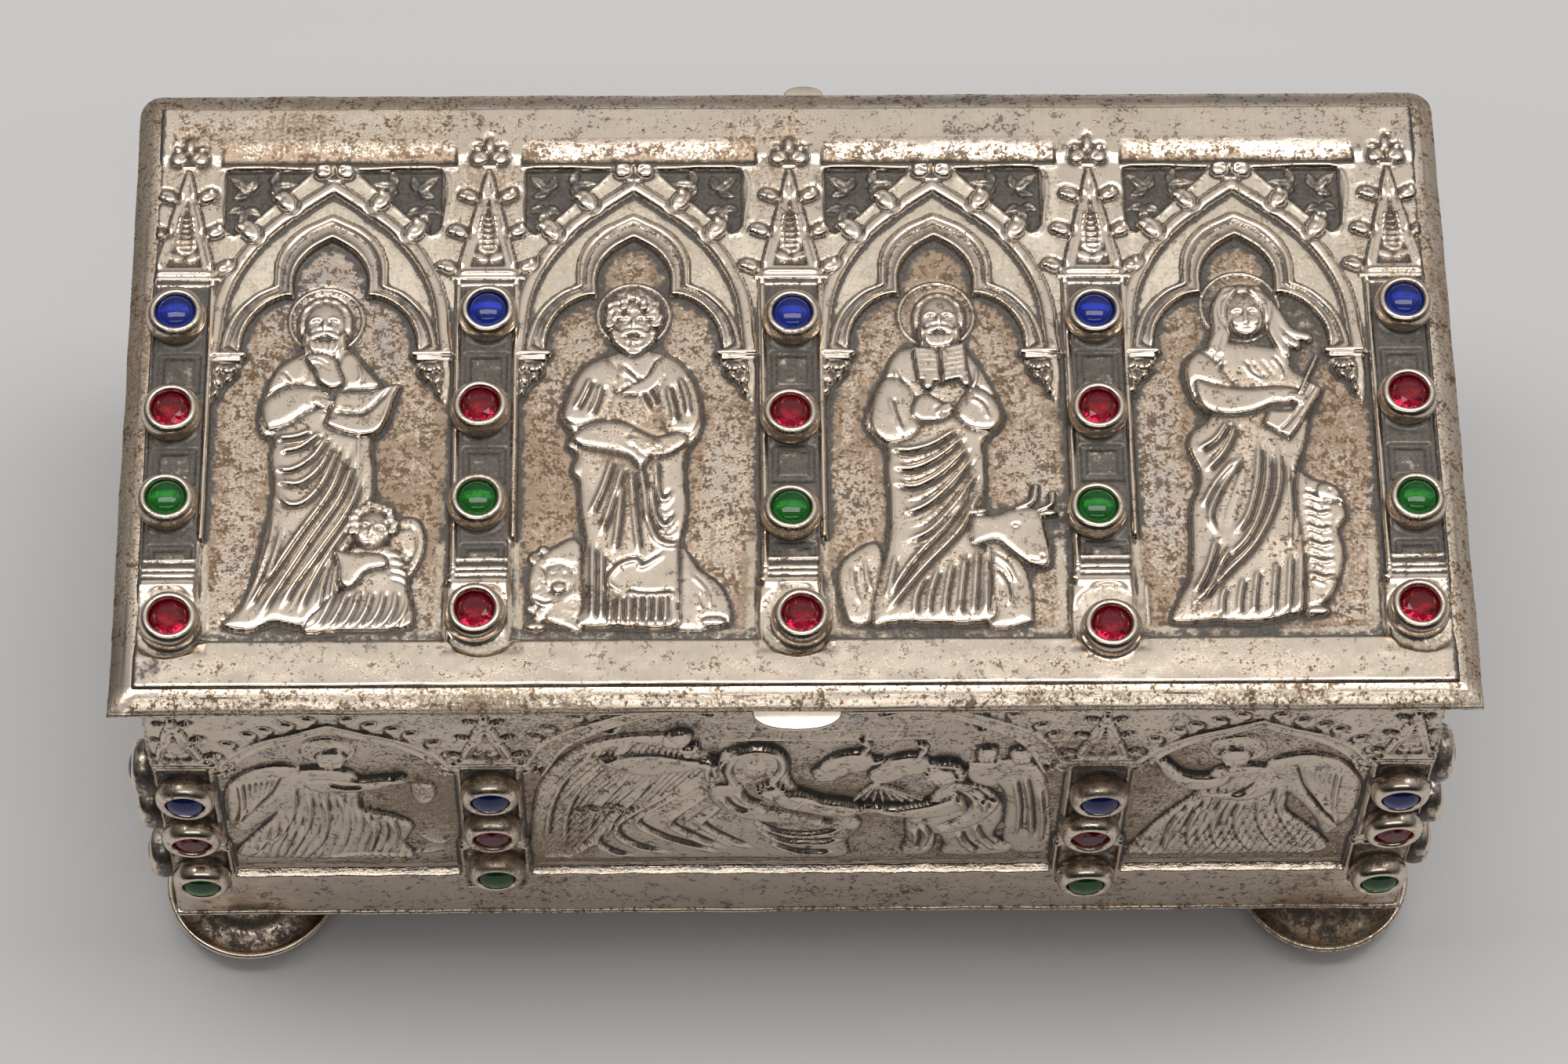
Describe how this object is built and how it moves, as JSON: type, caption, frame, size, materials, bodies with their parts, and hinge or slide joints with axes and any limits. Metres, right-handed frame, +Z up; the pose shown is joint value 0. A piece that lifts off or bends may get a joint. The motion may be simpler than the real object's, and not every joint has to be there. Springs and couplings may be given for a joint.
{
  "type": "silver casket",
  "caption": "Rectangular hinged casket on bun feet, with embossed pointed-arch panels, robed figures and round stones in collets.",
  "frame": {"origin": "bottom centre of the bounding box, on the table under the casket's middle", "axes": "+X along the length to the right as seen from the front, +Y from the front to the hinge at the back, +Z up"},
  "size_m": [0.1568, 0.0876, 0.0715],
  "materials": {
    "silver": "embossed silver sheet, satin, with dark patina in the hollows",
    "collet_silver": "thick drawn silver, worn bright on the rims",
    "blue_glass": "domed cobalt blue glass",
    "green_glass": "domed green glass",
    "red_glass": "cut ruby red glass",
    "pin_metal": "drawn wire"
  },
  "bodies": {
    "casket": {"front_wall": "silver", "back_wall": "silver", "left_wall": "silver", "right_wall": "silver", "floor_plate": "silver", "front_left_foot": "silver", "front_right_foot": "silver", "back_left_foot": "silver", "back_right_foot": "silver", "wall_knuckles": "silver", "hinge_pin": "pin_metal", "front_collets": "collet_silver", "front_blue_stones": "blue_glass", "front_green_stones": "green_glass", "front_red_stones": "red_glass", "back_collets": "collet_silver", "back_blue_stones": "blue_glass", "back_green_stones": "green_glass", "back_red_stones": "red_glass", "left_collets": "collet_silver", "left_blue_stones": "blue_glass", "left_green_stones": "green_glass", "left_red_stones": "red_glass", "right_collets": "collet_silver", "right_blue_stones": "blue_glass", "right_green_stones": "green_glass", "right_red_stones": "red_glass"},
    "lid": {"lid_plate": "silver", "lid_panel": "silver", "lid_flange": "silver", "thumb_piece": "silver", "stop_tab": "silver", "lid_knuckles": "silver", "lid_collets": "collet_silver", "lid_blue_stones": "blue_glass", "lid_green_stones": "green_glass", "lid_red_stones": "red_glass"}
  },
  "joints": [
    {"name": "lid_hinge", "type": "hinge", "parent": "casket", "child": "lid", "pos_m": [0, 0.0409, 0.06435], "axis": [-1, 0, 0], "range_deg": [0, 99]}
  ]
}
